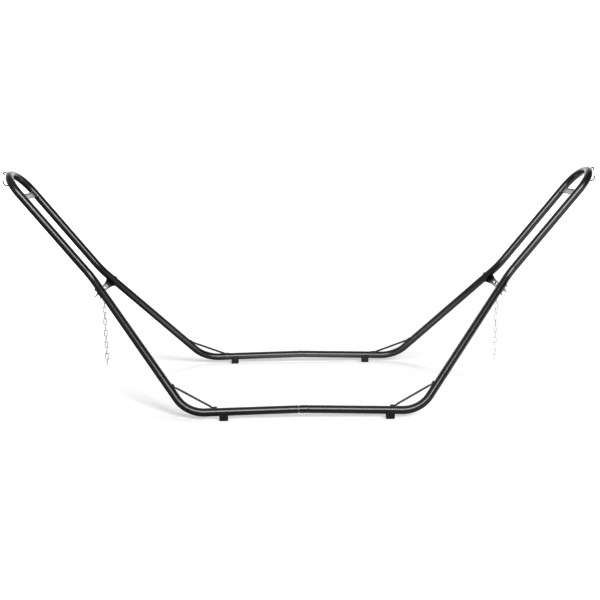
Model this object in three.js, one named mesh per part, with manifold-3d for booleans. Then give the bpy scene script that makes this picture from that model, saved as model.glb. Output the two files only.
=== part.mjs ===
import * as THREE from 'three';
import { mergeVertices } from 'three/addons/utils/BufferGeometryUtils.js';
import { ParametricGeometry } from 'three/addons/geometries/ParametricGeometry.js';
import Module from 'manifold-3d';

// Steel hammock stand. Two tall tube loops lean outward, splay into four legs and
// stand on two long floor rails. A slack chain hangs under each end bracket.
// Millimetres, +Z up. The origin is on the floor below the middle of the stand.

const wasm = await Module();
wasm.setup();

// Driving dimensions

const GAP = 0.3;                 // clearance between two pieces that touch

const TUBE_D = 40;               // outer diameter of every frame tube
const WALL = 1.5;                // tube wall
const SHOULDER = 12;             // a spigot's thick root inside its own tube
const SPIGOT_LENGTH = 90;        // leg spigot inside the loop and inside the rail

const APEX_X = 1485;             // centre line of the loop's top bend
const APEX_Z = 1157;
const LOOP_HALF = 120;           // half the spacing of the two loop tubes
const SPLAY_X = 1073;            // corner where the loop line meets the leg line
const SPLAY_Z = 640;
const SPLAY_BEND = 180;          // centre-line radius of that bend
const SPLAY_STRAIGHT = 2;        // straight left on the leg tube above that bend

const BASE_X = 566;              // corner where the leg line meets the floor rail
const BASE_HALF = 510;           // half the spacing of the floor rails
const BASE_Z = 38;               // height of the tube axis at that corner
const BASE_BEND = 168;           // centre-line radius of the floor bend
const BASE_STRAIGHT = 128;       // straight left on the rail tube above the floor bend
const RAIL_RISE = 13;            // the rails stand this much higher at the middle

const COLLAR_LENGTH = 42;        // visible collar of the coupler between two rails
const COUPLER_SPIGOT = 90;

const FOOT_INSET = 178;          // foot centre, in from the floor corner
const FRONT_RIGHT_INSET = 146;   // this foot sits further out than the others
const FOOT_LENGTH = 40;
const FOOT_WALL = 2.6;
const FOOT_SOLE = 30;            // width of the flat sole
const FOOT_LIP = 1.2;            // bead around the top edge
const FOOT_LIP_HEIGHT = 5;

const BRACE_D = 10;              // round bar across each floor bend
const BRACE_ABOVE_BEND = 49;     // the bar leaves the leg this far above the bend
const BRACE_PAST_BEND = 31;      // and the rail this far past it
const BRACE_LAP = 26;            // straight end that lies on the tube
const BRACE_BEND = 16;

const PLATE_BELOW_BEND = 1;      // cross plate, below the end of the apex bend
const PLATE_END = 40;            // length of the plate along the tubes
const PLATE_WAIST = 29;
const PLATE_SHEET = 3;
const PLATE_FLANGE = 9;

const BRACKET_BELOW_BEND = 21;   // bracket, below the end of the splay bend
const BRACKET_END = 58;          // length of the bracket under each leg
const BRACKET_WAIST = 32;
const BRACKET_SHEET = 3;
const WEB_IN_SADDLE = 4;         // the web meets the saddles inside the tube's own size
const FLANGE_BELOW_TUBE = 8;     // free edge of the flanges, below the tubes
const BRACKET_OVERHANG = 14;     // bracket reaches this far past each leg axis
const SADDLE_RISE = 3;           // saddle stops this far below the leg axis

const BOLT_D = 8;
const BOLT_HOLE = 8.8;
const HEX_ACROSS = 13;
const HEAD_HEIGHT = 5.5;
const NUT_HEIGHT = 6.5;
const WASHER_D = 17;
const WASHER_HEIGHT = 1.6;
const BOLT_BELOW_TUBE = 27;      // free end of the bolt, below the tube

const EYE_WIRE = 5;              // eye bolt that carries the chain
const EYE_RADIUS = 7.5;
const EYE_THREAD = 13;           // thread above the web

const LINKS = 13;
const LINK_WIRE = 4.5;
const LINK_WIDTH = 19;
const LINK_LENGTH = 41;

const HOOK_BAR = 6;              // bent bar welded to the outside of the apex
const HOOK_EYE = 7;              // centre-line radius of the curled eye
const HOOK_EYE_SWEEP = 272;      // degrees of the curl
const HOOK_EYE_RISE = 7;         // height of the eye's centre above the tube axis
const HOOK_WRAP = 75;            // degrees that the bar follows the tube below level
const HOOK_TURN = 6;             // tight bend from the tube's face into the stem
const HOOK_BOWL = 20.5;
const HOOK_BOWL_DROP = 35;       // centre of the bowl below the tube axis
const HOOK_TIP = 5;

const TUBE_SIDES = 12;
const BOLT_SIDES = 10;
const HEX_SIDES = 6;
const CLEAR_SIDES = 24;          // cuts that go around a tube
const BAR_SIDES = 6;
const LINK_SIDES = 6;
const EYE_STEPS = 14;            // steps around the eye that carries the chain
const BEND_STEPS = 6;            // steps in each bend of a tube
const LOOP_ARC_STEPS = 7;
const LINK_ARC_STEPS = 4;
const BRACE_STEPS = 3;           // steps in each bend of a brace
const SHEET_EDGE_STEPS = 4;      // steps along a concave edge of a pressing
const HOOK_EYE_STEPS = 10;
const HOOK_WRAP_STEPS = 5;
const HOOK_TURN_STEPS = 3;
const HOOK_BOWL_STEPS = 7;

// Values worked out from them

const TUBE_R = TUBE_D / 2;
const BORE_R = TUBE_R - WALL;
const loopSlope = new THREE.Vector3(APEX_X - SPLAY_X, 0, APEX_Z - SPLAY_Z).normalize();
const splay = (side) => new THREE.Vector3(SPLAY_X, side * LOOP_HALF, SPLAY_Z);
const baseCorner = (side) => new THREE.Vector3(BASE_X, side * BASE_HALF, BASE_Z);
const railMiddle = (side) => new THREE.Vector3(0, side * BASE_HALF, BASE_Z + RAIL_RISE);
const direction = (from, to) => to.clone().sub(from).normalize();
const along = (from, way, distance) => from.clone().addScaledVector(way, distance);
const legDown = (side) => direction(splay(side), baseCorner(side));
const railInward = (side) => direction(baseCorner(side), railMiddle(side));
const setback = (radius, arrive, leave) => radius * Math.tan(arrive.angleTo(leave) / 2);
const splaySetback = setback(SPLAY_BEND, loopSlope, legDown(1).negate());
const baseSetback = setback(BASE_BEND, legDown(1), railInward(1));
const loopSeam = splaySetback + SPLAY_STRAIGHT;
const baseSeam = baseSetback + BASE_STRAIGHT;
const plateFromApex = LOOP_HALF + PLATE_BELOW_BEND + PLATE_END / 2;
const bracketDown = splaySetback + BRACKET_BELOW_BEND + BRACKET_END / 2;
const webTop = TUBE_R - WEB_IN_SADDLE;
const flangeEdge = TUBE_R + FLANGE_BELOW_TUBE;

// Materials

const blackCoat = new THREE.MeshStandardMaterial({ color: 0x161618, roughness: 0.38, metalness: 0.25 });
const zinc = new THREE.MeshStandardMaterial({ color: 0xb4b6b8, roughness: 0.36, metalness: 0.9 });
const rubber = new THREE.MeshStandardMaterial({ color: 0x1c1c1c, roughness: 0.85, metalness: 0 });

// A route is a list of stations, each a point and the tangent there. Corners of the
// given points become arcs, and straight stretches stay a single step.

class Route extends THREE.Curve {
  constructor(stations) {
    super();
    this.stations = stations;
  }

  station(u) {
    return this.stations[Math.round(u * (this.stations.length - 1))];
  }

  getPointAt(u, target = new THREE.Vector3()) {
    return target.copy(this.station(u).point);
  }

  getTangentAt(u, target = new THREE.Vector3()) {
    return target.copy(this.station(u).tangent);
  }
}

function arcStations(before, corner, after, radius, steps) {
  const arrive = direction(before, corner);
  const leave = direction(corner, after);
  const turn = arrive.angleTo(leave);
  const inward = leave.clone().addScaledVector(arrive, -leave.dot(arrive)).normalize();
  const centre = along(along(corner, arrive, -setback(radius, arrive, leave)), inward, radius);
  return Array.from({ length: steps + 1 }, (_, i) => {
    const a = turn * i / steps;
    return {
      point: along(along(centre, arrive, radius * Math.sin(a)), inward, -radius * Math.cos(a)),
      tangent: arrive.clone().multiplyScalar(Math.cos(a)).addScaledVector(inward, Math.sin(a)),
    };
  });
}

function bentRoute(points, radii, steps) {
  const last = points.length - 1;
  const stations = [{ point: points[0], tangent: direction(points[0], points[1]) }];
  for (let i = 1; i < last; i += 1) {
    stations.push(...arcStations(points[i - 1], points[i], points[i + 1], radii[i - 1], steps));
  }
  stations.push({ point: points[last], tangent: direction(points[last - 1], points[last]) });
  return new Route(stations.filter((s, i) => i === 0 || s.point.distanceTo(stations[i - 1].point) > 0.01));
}

// An arc in the XZ plane, angles in degrees from +X towards +Z.

function flatArc(x, z, radius, from, to, steps) {
  const sense = Math.sign(to - from);
  return Array.from({ length: steps + 1 }, (_, i) => {
    const a = THREE.MathUtils.degToRad(from + (to - from) * i / steps);
    return {
      point: new THREE.Vector3(x + radius * Math.cos(a), 0, z + radius * Math.sin(a)),
      tangent: new THREE.Vector3(-Math.sin(a), 0, Math.cos(a)).multiplyScalar(sense),
    };
  });
}

// Sections, sweeps and booleans

function roundSection(radius, sides, holeRadius = 0) {
  const ring = (r) => Array.from({ length: sides }, (_, i) => {
    const a = 2 * Math.PI * i / sides;
    return new THREE.Vector2(r * Math.cos(a), r * Math.sin(a));
  });
  const shape = new THREE.Shape(ring(radius));
  if (holeRadius > 0) {
    shape.holes.push(new THREE.Path(ring(holeRadius).reverse()));
  }
  return shape;
}

function sweep(section, route) {
  return new THREE.ExtrudeGeometry(section, {
    extrudePath: route,
    steps: route.stations.length - 1,
    curveSegments: 1,
  });
}

const tube = (route, outer = TUBE_R, inner = BORE_R) => sweep(roundSection(outer, TUBE_SIDES, inner), route);
const bar = (route, diameter) => sweep(roundSection(diameter / 2, BAR_SIDES), route);
const straight = (from, to) => bentRoute([from, to], [], 1);

function solid(geometry) {
  const bare = geometry.clone();
  bare.deleteAttribute('normal');
  bare.deleteAttribute('uv');
  const merged = mergeVertices(bare, 1e-4);
  return new wasm.Manifold(new wasm.Mesh({
    numProp: 3,
    vertProperties: new Float32Array(merged.attributes.position.array),
    triVerts: new Uint32Array(merged.index.array),
  }));
}

function geometryOf(manifold) {
  const { vertProperties, triVerts } = manifold.getMesh();
  const geometry = new THREE.BufferGeometry();
  geometry.setAttribute('position', new THREE.BufferAttribute(vertProperties, 3));
  geometry.setIndex(new THREE.BufferAttribute(triVerts, 1));
  return geometry;
}

const join = (first, ...rest) => rest.reduce((sum, piece) => sum.add(piece), first);
const cut = (body, ...tools) => tools.reduce((rest, tool) => rest.subtract(tool), body);

// A cylinder between two points, for holes, shanks and clearance cuts.

function rod(from, to, radius, sides = TUBE_SIDES) {
  return solid(sweep(roundSection(radius, sides), straight(from, to)));
}

// A round body whose flats, not its edges, lie at the radius

function around(from, to, radius) {
  return rod(from, to, radius / Math.cos(Math.PI / CLEAR_SIDES), CLEAR_SIDES);
}

// A closed outline in the XY plane, raised from one height to another.

function slab(outline, low, high) {
  const options = { depth: high - low, bevelEnabled: false };
  const geometry = new THREE.ExtrudeGeometry(new THREE.Shape(outline), options);
  return solid(geometry.translate(0, 0, low));
}

const stand = new THREE.Group();

function addMesh(parent, name, geometry, material) {
  const mesh = new THREE.Mesh(geometry, material);
  mesh.name = name;
  parent.add(mesh);
  return mesh;
}

// A round solid along a route. The profile is a closed list of [station, radius],
// out along the outer wall and back along the bore.

function turnedAlong(route, profile) {
  const frames = route.computeFrenetFrames(route.stations.length - 1, false);
  const place = (u, v, target) => {
    const [index, radius] = profile[Math.round(u * profile.length) % profile.length];
    const angle = -2 * Math.PI * v;
    target.copy(route.stations[index].point)
      .addScaledVector(frames.normals[index], radius * Math.cos(angle))
      .addScaledVector(frames.binormals[index], radius * Math.sin(angle));
  };
  return new ParametricGeometry(place, profile.length, TUBE_SIDES);
}

// A tube with a thinner spigot at both ends. The spigots slide into the next tubes,
// and their bore widens to the tube's own one station inside each shoulder.

const SPIGOT_R = BORE_R * Math.cos(Math.PI / TUBE_SIDES) - GAP;
const SPIGOT_BORE_R = SPIGOT_R - WALL;

function spigotTube(route, first, last) {
  const end = route.stations.length - 1;
  const body = Array.from({ length: last - first + 1 }, (_, i) => first + i);
  return turnedAlong(route, [
    [0, SPIGOT_R],
    [first, SPIGOT_R],
    ...body.map((index) => [index, TUBE_R]),
    [last, SPIGOT_R],
    [end, SPIGOT_R],
    [end, SPIGOT_BORE_R],
    [last, SPIGOT_BORE_R],
    ...body.slice(1, -1).map((index) => [index, BORE_R]).reverse(),
    [first, SPIGOT_BORE_R],
    [0, SPIGOT_BORE_R],
  ]);
}

// Top loop: up the front, around the apex and down the back

function loopTube() {
  const apex = (side) => new THREE.Vector3(APEX_X, side * LOOP_HALF, APEX_Z);
  const foot = (side) => along(splay(side), loopSlope, loopSeam + GAP);
  const points = [foot(-1), apex(-1), apex(1), foot(1)];
  return tube(bentRoute(points, [LOOP_HALF, LOOP_HALF], LOOP_ARC_STEPS));
}

// Bracket frame: x down the legs in the plane between them, y across, z away from
// the loop. The leg axes lie in its z = 0 plane.

const legMean = legDown(1).clone().setY(0).normalize();
const bracketOut = new THREE.Vector3().crossVectors(legMean, new THREE.Vector3(0, 1, 0)).normalize();
const bracketCentre = along(splay(1), legDown(1), bracketDown).setY(0);
const bracketFrame = new THREE.Matrix4()
  .makeBasis(legMean, new THREE.Vector3(0, 1, 0), bracketOut)
  .setPosition(bracketCentre);
const boltY = LOOP_HALF + bracketDown * Math.abs(legDown(1).y);
const inBracket = (x, y, z) => new THREE.Vector3(x, y, z).applyMatrix4(bracketFrame);

function boltHole(side) {
  const reach = flangeEdge + TUBE_D;
  const at = (z) => inBracket(0, side * boltY, z);
  return rod(at(-reach), at(reach), BOLT_HOLE / 2, BOLT_SIDES);
}

// Leg tube: its spigots slide into the loop above and into the rail below

function legTube(side) {
  const top = along(splay(side), loopSlope, loopSeam);
  const down = legDown(side);
  const bottom = along(baseCorner(side), down, -baseSeam - GAP);
  const route = bentRoute([top, splay(side), bottom], [SPLAY_BEND], BEND_STEPS);
  const upper = { point: along(top, loopSlope, SPIGOT_LENGTH), tangent: loopSlope.clone().negate() };
  const lower = { point: along(bottom, down, SPIGOT_LENGTH), tangent: down };
  const shoulder = { point: along(bottom, down, -SHOULDER), tangent: down };
  const whole = new Route([upper, ...route.stations.slice(0, -1), shoulder, route.stations.at(-1), lower]);
  const body = solid(spigotTube(whole, 1, whole.stations.length - 2));
  return geometryOf(cut(body, boltHole(side)));
}

// Half rail: the floor bend and the tube to the coupler

function halfRail(side) {
  const top = along(baseCorner(side), legDown(side), -baseSeam);
  const inward = railInward(side);
  const inner = along(railMiddle(side), inward, -COLLAR_LENGTH / 2 - GAP);
  return tube(bentRoute([top, baseCorner(side), inner], [BASE_BEND], BEND_STEPS));
}

// Coupler: a collar of the tube's own size with a spigot into each half rail

function coupler(side) {
  const middle = railMiddle(side);
  const inward = railInward(side);
  const onward = inward.clone().setZ(-inward.z);
  const reach = COLLAR_LENGTH / 2 + COUPLER_SPIGOT;
  const stations = [
    { point: along(middle, inward, -reach), tangent: inward },
    { point: along(middle, inward, -COLLAR_LENGTH / 2), tangent: inward },
    { point: middle, tangent: new THREE.Vector3(-1, 0, 0) },
    { point: along(middle, onward, COLLAR_LENGTH / 2), tangent: onward },
    { point: along(middle, onward, reach), tangent: onward },
  ];
  return spigotTube(new Route(stations), 1, 3);
}

// Brace: a round bar across the floor bend, its ends lapped onto leg and rail

function brace(side) {
  const corner = baseCorner(side);
  const upLeg = legDown(side).negate();
  const inward = railInward(side);
  const standOff = TUBE_R + GAP + BRACE_D / 2;
  const offLeg = inward.clone().addScaledVector(upLeg, -inward.dot(upLeg)).normalize();
  const offRail = upLeg.clone().addScaledVector(inward, -upLeg.dot(inward)).normalize();
  const onLeg = (distance) => along(along(corner, upLeg, distance), offLeg, standOff);
  const onRail = (distance) => along(along(corner, inward, distance), offRail, standOff);
  const leaveLeg = baseSetback + BRACE_ABOVE_BEND;
  const leaveRail = baseSetback + BRACE_PAST_BEND;
  const points = [
    onLeg(leaveLeg + BRACE_LAP),
    onLeg(leaveLeg),
    onRail(leaveRail),
    onRail(leaveRail + BRACE_LAP),
  ];
  return bar(bentRoute(points, [BRACE_BEND, BRACE_BEND], BRACE_STEPS), BRACE_D);
}

// Foot: a saddle block that hugs the lower half of the rail and has a flat sole

function foot(side, distance) {
  const axis = railMiddle(side);
  const inward = railInward(side);
  const centreZ = BASE_Z + RAIL_RISE * (1 - distance / BASE_X);
  const cheek = TUBE_R + GAP + FOOT_WALL;
  const lip = cheek + FOOT_LIP;
  const half = [
    [FOOT_SOLE / 2, 0],
    [cheek, centreZ - TUBE_R + FOOT_WALL],
    [cheek, centreZ - FOOT_LIP_HEIGHT],
    [lip, centreZ - FOOT_LIP_HEIGHT],
    [lip, centreZ],
  ];
  const corners = [...half, ...half.map(([y, z]) => [-y, z]).reverse()];
  const outline = new THREE.Shape(corners.map(([y, z]) => new THREE.Vector2(y, z)));
  const block = new THREE.ExtrudeGeometry(outline, { depth: FOOT_LENGTH, bevelEnabled: false });
  block.rotateX(Math.PI / 2).rotateZ(Math.PI / 2).translate(distance - FOOT_LENGTH / 2, axis.y, 0);
  const channel = around(along(axis, inward, -BASE_X), axis, TUBE_R + GAP);
  return geometryOf(cut(solid(block), channel));
}

// Waisted outline with concave long edges, x along the tubes and y across

function waisted(endHalf, waistHalf, reach) {
  const sag = endHalf - waistHalf;
  const edge = Array.from({ length: SHEET_EDGE_STEPS + 1 }, (_, i) => {
    const y = reach * (2 * i / SHEET_EDGE_STEPS - 1);
    return new THREE.Vector2(waistHalf + sag * (y / reach) ** 2, y);
  });
  return [...edge, ...edge.map((p) => new THREE.Vector2(-p.x, p.y)).reverse()];
}

// Cross plate: a flanged sheet between the loop tubes, just below the apex bend

function crossPlate() {
  const centre = along(new THREE.Vector3(APEX_X, 0, APEX_Z), loopSlope, -plateFromApex);
  const outward = new THREE.Vector3().crossVectors(loopSlope, new THREE.Vector3(0, 1, 0)).normalize();
  const frame = new THREE.Matrix4()
    .makeBasis(loopSlope, new THREE.Vector3(0, 1, 0), outward)
    .setPosition(centre);
  const tubeCut = (side) => around(
    new THREE.Vector3(-PLATE_END, side * LOOP_HALF, 0),
    new THREE.Vector3(PLATE_END, side * LOOP_HALF, 0),
    TUBE_R + GAP,
  );
  const block = slab(waisted(PLATE_END / 2, PLATE_WAIST / 2, LOOP_HALF), 0, PLATE_FLANGE);
  const pocket = slab(
    waisted(PLATE_END / 2 - PLATE_SHEET, PLATE_WAIST / 2 - PLATE_SHEET, LOOP_HALF + 1),
    PLATE_SHEET,
    PLATE_FLANGE + 1,
  );
  const plate = cut(block, pocket, tubeCut(-1), tubeCut(1));
  return geometryOf(plate).applyMatrix4(frame);
}

// Bracket: a flanged, waisted pressing under both legs, with a saddle for each

function bracket() {
  const reach = boltY + BRACKET_OVERHANG;
  const across = Math.abs(legDown(1).y);
  const down = Math.sqrt(1 - across * across);
  const legLine = (side, distance) => (
    new THREE.Vector3(distance * down, side * (boltY + distance * across), 0)
  );
  const endHalf = BRACKET_END / 2;
  const block = slab(waisted(endHalf, BRACKET_WAIST / 2, reach), webTop, flangeEdge);
  const sheet = BRACKET_SHEET;
  const pocket = slab(
    waisted(endHalf - sheet, BRACKET_WAIST / 2 - sheet, reach - sheet),
    webTop + sheet,
    flangeEdge + 1,
  );
  const saddleHalf = slab([
    new THREE.Vector2(-TUBE_D * 2, -reach - TUBE_D),
    new THREE.Vector2(TUBE_D * 2, -reach - TUBE_D),
    new THREE.Vector2(TUBE_D * 2, reach + TUBE_D),
    new THREE.Vector2(-TUBE_D * 2, reach + TUBE_D),
  ], SADDLE_RISE, flangeEdge + TUBE_D);
  const saddle = (side) => around(legLine(side, -endHalf), legLine(side, endHalf), TUBE_R + GAP + sheet)
    .intersect(saddleHalf);
  const channel = (side) => around(legLine(side, -TUBE_D * 3), legLine(side, TUBE_D * 3), TUBE_R + GAP);
  const through = (y, z) => new THREE.Vector3(0, y, z);
  const hole = (y) => rod(through(y, 0), through(y, TUBE_D * 2), BOLT_HOLE / 2, BOLT_SIDES);
  const pressing = join(cut(block, pocket), saddle(-1), saddle(1));
  const body = cut(pressing, channel(-1), channel(1), hole(-boltY), hole(0), hole(boltY));
  return geometryOf(body).applyMatrix4(bracketFrame);
}

// Bracket bolt with its nut and washer, through the leg and the saddle

const hexR = HEX_ACROSS / 2 / Math.cos(Math.PI / HEX_SIDES);

function bracketBolt(side) {
  const at = (z) => new THREE.Vector3(0, 0, z);
  const shaft = (from, to, radius, sides) => rod(at(from), at(to), radius, sides);
  const headSeat = -TUBE_R - GAP;
  const nutSeat = TUBE_R + GAP + BRACKET_SHEET + GAP;
  const bolt = join(
    shaft(headSeat - WASHER_HEIGHT - HEAD_HEIGHT / 2, TUBE_R + BOLT_BELOW_TUBE, BOLT_D / 2, BOLT_SIDES),
    shaft(headSeat - WASHER_HEIGHT, headSeat, WASHER_D / 2, TUBE_SIDES),
    shaft(headSeat - WASHER_HEIGHT - HEAD_HEIGHT, headSeat - WASHER_HEIGHT, hexR, HEX_SIDES),
    shaft(nutSeat, nutSeat + NUT_HEIGHT, hexR, HEX_SIDES),
  );
  return geometryOf(bolt).translate(0, side * boltY, 0).applyMatrix4(bracketFrame);
}

// Chain eye: a ring under the web on a threaded shank, and its nut above the web

const eyeCentreZ = webTop + BRACKET_SHEET + GAP + EYE_WIRE / 2 + EYE_RADIUS;

function ringPoint(radius, wire) {
  return (u, v, target) => {
    const a = 2 * Math.PI * u;
    const b = -2 * Math.PI * v;
    const r = radius + wire / 2 * Math.cos(b);
    return target.set(r * Math.cos(a), wire / 2 * Math.sin(b), r * Math.sin(a));
  };
}

function chainEye() {
  const ring = new ParametricGeometry(ringPoint(EYE_RADIUS, EYE_WIRE), EYE_STEPS, LINK_SIDES);
  const plumb = Math.atan2(-bracketOut.z, -legMean.z);
  ring.rotateY(-plumb).translate(0, 0, eyeCentreZ);
  const shankTop = webTop - EYE_THREAD;
  const shankEnd = eyeCentreZ - EYE_RADIUS;
  const axis = (z) => new THREE.Vector3(0, 0, z);
  const shank = rod(axis(shankTop), axis(shankEnd), BOLT_D / 2, BOLT_SIDES);
  return geometryOf(join(solid(ring), shank)).applyMatrix4(bracketFrame);
}

function chainEyeNut() {
  const top = webTop - GAP;
  const axis = (z) => new THREE.Vector3(0, 0, z);
  const body = rod(axis(top - NUT_HEIGHT), axis(top), hexR, HEX_SIDES);
  const bore = rod(axis(top - NUT_HEIGHT * 2), axis(top + NUT_HEIGHT), BOLT_HOLE / 2, BOLT_SIDES);
  return geometryOf(cut(body, bore)).applyMatrix4(bracketFrame);
}

// Chain link: two half rings and two straight sides, in the XZ plane

const linkRadius = (LINK_WIDTH - LINK_WIRE) / 2;
const linkStraight = LINK_LENGTH / 2 - LINK_WIDTH / 2;

function chainLink() {
  const stations = 2 * LINK_ARC_STEPS + 2;
  const at = ringPoint(linkRadius, LINK_WIRE);
  const place = (u, v, target) => {
    const index = Math.round(u * stations) % stations;
    const upper = index <= LINK_ARC_STEPS;
    const turn = upper ? index : index - 1;
    at(turn / (2 * LINK_ARC_STEPS), v, target).z += upper ? linkStraight : -linkStraight;
  };
  return new ParametricGeometry(place, stations, LINK_SIDES);
}

// Apex hook: one bent bar. A curled eye outside the tube, a stretch around the tube's
// outer face, a short stem below it and an open bowl that ends in an upright tip.

function apexHook() {
  const wrap = TUBE_R + GAP + HOOK_BAR / 2;
  const eyeAngle = THREE.MathUtils.radToDeg(Math.asin(HOOK_EYE_RISE / (wrap + HOOK_EYE)));
  const eyeEnd = 180 + eyeAngle;
  const eyeX = Math.sqrt((wrap + HOOK_EYE) ** 2 - HOOK_EYE_RISE ** 2);
  const wrapEnd = THREE.MathUtils.degToRad(HOOK_WRAP);
  const turnX = (wrap + HOOK_TURN) * Math.cos(wrapEnd);
  const turnZ = -(wrap + HOOK_TURN) * Math.sin(wrapEnd);
  const bowlX = turnX - HOOK_TURN + HOOK_BOWL;
  const tip = new THREE.Vector3(bowlX + HOOK_BOWL, 0, HOOK_TIP - HOOK_BOWL_DROP);
  const stations = [
    ...flatArc(eyeX, HOOK_EYE_RISE, HOOK_EYE, eyeEnd - HOOK_EYE_SWEEP, eyeEnd, HOOK_EYE_STEPS),
    ...flatArc(0, 0, wrap, eyeAngle, -HOOK_WRAP, HOOK_WRAP_STEPS),
    ...flatArc(turnX, turnZ, HOOK_TURN, 180 - HOOK_WRAP, 180, HOOK_TURN_STEPS),
    ...flatArc(bowlX, -HOOK_BOWL_DROP, HOOK_BOWL, 180, 360, HOOK_BOWL_STEPS),
    { point: tip, tangent: new THREE.Vector3(0, 0, 1) },
  ];
  const spaced = stations.filter((s, i) => i === 0 || s.point.distanceTo(stations[i - 1].point) > 0.01);
  return bar(new Route(spaced), HOOK_BAR).translate(APEX_X, 0, APEX_Z);
}

// Assembly. Each end is built on the +X side; the other end is turned half round.

const hang = along(inBracket(0, 0, eyeCentreZ), new THREE.Vector3(0, 0, -1), EYE_RADIUS);
const wirePitch = (EYE_WIRE + LINK_WIRE) / 2 + GAP;
const linkPitch = LINK_LENGTH - 2 * LINK_WIRE - GAP;
const firstLinkZ = hang.z + wirePitch - (LINK_LENGTH - LINK_WIRE) / 2;

for (const [end, turn] of [['right', 0], ['left', Math.PI]]) {
  const frame = new THREE.Group();
  frame.rotation.z = turn;
  stand.add(frame);
  addMesh(frame, `loop_${end}`, loopTube(), blackCoat.clone());
  addMesh(frame, `cross_plate_${end}`, crossPlate(), blackCoat.clone());
  addMesh(frame, `apex_hook_${end}`, apexHook(), blackCoat.clone());
  addMesh(frame, `bracket_${end}`, bracket(), blackCoat.clone());
  addMesh(frame, `chain_eye_${end}`, chainEye(), zinc.clone());
  addMesh(frame, `chain_eye_nut_${end}`, chainEyeNut(), zinc.clone());
  for (const localSide of [-1, 1]) {
    const side = end === 'right' ? localSide : -localSide;
    const corner = `${side < 0 ? 'front' : 'back'}_${end}`;
    const inset = corner === 'front_right' ? FRONT_RIGHT_INSET : FOOT_INSET;
    addMesh(frame, `leg_${corner}`, legTube(localSide), blackCoat.clone());
    addMesh(frame, `rail_${corner}`, halfRail(localSide), blackCoat.clone());
    addMesh(frame, `brace_${corner}`, brace(localSide), blackCoat.clone());
    addMesh(frame, `foot_${corner}`, foot(localSide, BASE_X - inset), rubber.clone());
    addMesh(frame, `bracket_bolt_${corner}`, bracketBolt(localSide), zinc.clone());
  }
  for (let i = 0; i < LINKS; i += 1) {
    const link = addMesh(frame, `link_${end}_${String(i + 1).padStart(2, '0')}`, chainLink(), zinc.clone());
    link.position.set(hang.x, 0, firstLinkZ - i * linkPitch);
    link.rotation.z = i % 2 === 0 ? Math.PI / 2 : 0;
  }
}

for (const [name, side] of [['front', -1], ['back', 1]]) {
  addMesh(stand, `coupler_${name}`, coupler(side), blackCoat.clone());
}

export default stand;
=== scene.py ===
import math
import random

import bpy
from mathutils import Matrix, Vector


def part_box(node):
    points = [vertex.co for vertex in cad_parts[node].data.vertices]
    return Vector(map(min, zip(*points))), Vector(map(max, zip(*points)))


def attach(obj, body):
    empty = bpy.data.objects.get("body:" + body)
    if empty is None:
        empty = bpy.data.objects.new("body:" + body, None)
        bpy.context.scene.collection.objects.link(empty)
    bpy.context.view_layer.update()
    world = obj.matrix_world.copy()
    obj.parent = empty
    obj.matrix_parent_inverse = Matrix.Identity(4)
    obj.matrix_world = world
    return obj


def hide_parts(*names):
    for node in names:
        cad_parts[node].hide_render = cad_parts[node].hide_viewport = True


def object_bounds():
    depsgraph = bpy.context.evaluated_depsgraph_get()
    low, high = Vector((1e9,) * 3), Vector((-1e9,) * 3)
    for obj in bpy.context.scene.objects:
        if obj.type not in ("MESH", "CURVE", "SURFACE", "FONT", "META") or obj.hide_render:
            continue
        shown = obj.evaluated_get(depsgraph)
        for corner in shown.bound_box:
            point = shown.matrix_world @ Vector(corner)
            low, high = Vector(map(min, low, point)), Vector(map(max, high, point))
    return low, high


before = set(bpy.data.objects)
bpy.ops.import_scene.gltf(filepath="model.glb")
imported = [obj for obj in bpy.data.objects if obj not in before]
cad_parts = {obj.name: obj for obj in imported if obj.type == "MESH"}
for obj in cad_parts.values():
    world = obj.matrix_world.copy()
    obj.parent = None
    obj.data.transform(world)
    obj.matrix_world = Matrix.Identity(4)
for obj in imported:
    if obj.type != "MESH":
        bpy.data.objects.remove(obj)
cad_low, cad_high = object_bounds()

# Top loops. Each is one length of round steel tube, bent twice into a long U that
# leans outward, and powder coated black. Its ends are rolled over a little, so a fine
# dark ring shows where a leg tube joins on.

TUBE_R = 0.020
BORE_R = 0.0185
TUBE_SIDES = 56
END_ROLL = 0.0012           # rounding of a cut tube end
ROLL_STEPS = 5
BEND_STEP = math.radians(2.5)
SEAM = 0.0016               # open groove between two tubes
SEAM_GAP = 0.0003           # slip fit between parts that touch
LEAN_RUN = 0.412            # the loop's lean, from the splay corner to the apex
LEAN_RISE = 0.517
SPLAY_BEND = 0.180
SPLAY_STRAIGHT = 0.002      # straight tube between the splay bend and the loop's seam
FOOT_INSET = 0.178          # from a foot out to the corner of the floor bend
RAIL_RISE = 0.013           # how far a floor rail bows up in the middle
ACROSS = Vector((0, 1, 0))

loop_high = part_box("loop_right")[1]
apex_middle = Vector((loop_high.x - TUBE_R, 0, loop_high.z - TUBE_R))
loop_half = loop_high.y - TUBE_R
rail_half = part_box("rail_back_right")[1].y - TUBE_R
foot_low, foot_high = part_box("foot_back_right")
collar_low, collar_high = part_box("coupler_back")
rail_top_z = (collar_low.z + collar_high.z) / 2


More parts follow.
